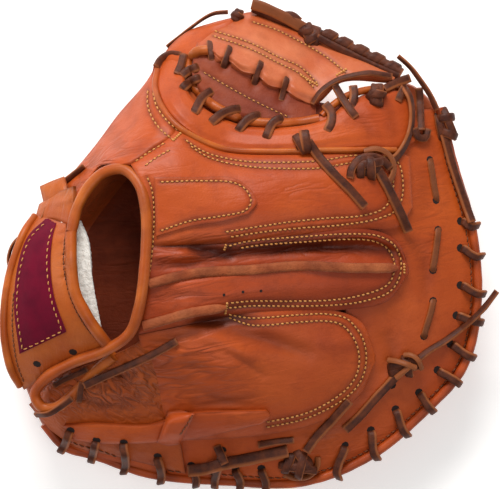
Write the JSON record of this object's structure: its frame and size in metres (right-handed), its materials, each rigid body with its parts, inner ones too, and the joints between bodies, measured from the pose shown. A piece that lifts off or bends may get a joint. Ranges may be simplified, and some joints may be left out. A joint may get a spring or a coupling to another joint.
{
  "type": "catcher mitt",
  "caption": "Padded leather catcher mitt lying palm down, with stalls, laced web and rim, wrist strap and a deep pocket.",
  "frame": {"origin": "on the floor under the middle of the mitt's box", "axes": "+X to the fingertips, +Y to the thumb and web, +Z out of the back of the hand"},
  "size_m": [0.289, 0.288, 0.108],
  "materials": {
    "leather": "oiled tan steerhide",
    "welt": "rough split leather",
    "dark_leather": "dark red-brown oiled leather",
    "light_cord": "light smooth leather binding",
    "lace": "dark brown rawhide lace",
    "label": "maroon woven patch",
    "fleece": "off-white wool pile"
  },
  "bodies": {
    "root": {"bottom_lace": "lace", "crotch_cord": "light_cord", "crotch_piping": "light_cord", "crotch_roll": "leather", "edge_lace": "lace", "finger_tab": "leather", "heel_side": "leather", "index_stall": "leather", "index_tip": "leather", "knot_bottom": "lace", "knot_index": "lace", "knot_right": "lace", "knot_top": "lace", "knot_web": "lace", "little_finger_strap": "leather", "little_stall": "leather", "middle_stall": "leather", "opening_roll": "leather", "palm_pad": "leather", "ridge_lower": "welt", "ridge_upper": "welt", "rim_back": "leather", "rim_lace_01": "lace", "rim_lace_02": "lace", "rim_lace_03": "lace", "rim_lace_04": "lace", "rim_lace_05": "lace", "rim_lace_06": "lace", "rim_lace_07": "lace", "rim_lace_08": "lace", "rim_lace_09": "lace", "rim_lace_10": "lace", "rim_lace_11": "lace", "rim_lace_12": "lace", "rim_lace_13": "lace", "rim_welt": "welt", "strap_binding": "leather", "strap_fleece": "fleece", "strap_keeper": "leather", "strap_label": "label", "strap_roll": "leather", "tail_bottom": "lace", "tail_index_left": "lace", "tail_index_right": "lace", "tail_little": "lace", "tail_right": "lace", "tail_wrist": "lace", "thumb_back": "leather", "top_lace": "lace", "web_base": "dark_leather", "web_panel": "leather", "wrist_strap": "leather"}
  },
  "joints": []
}
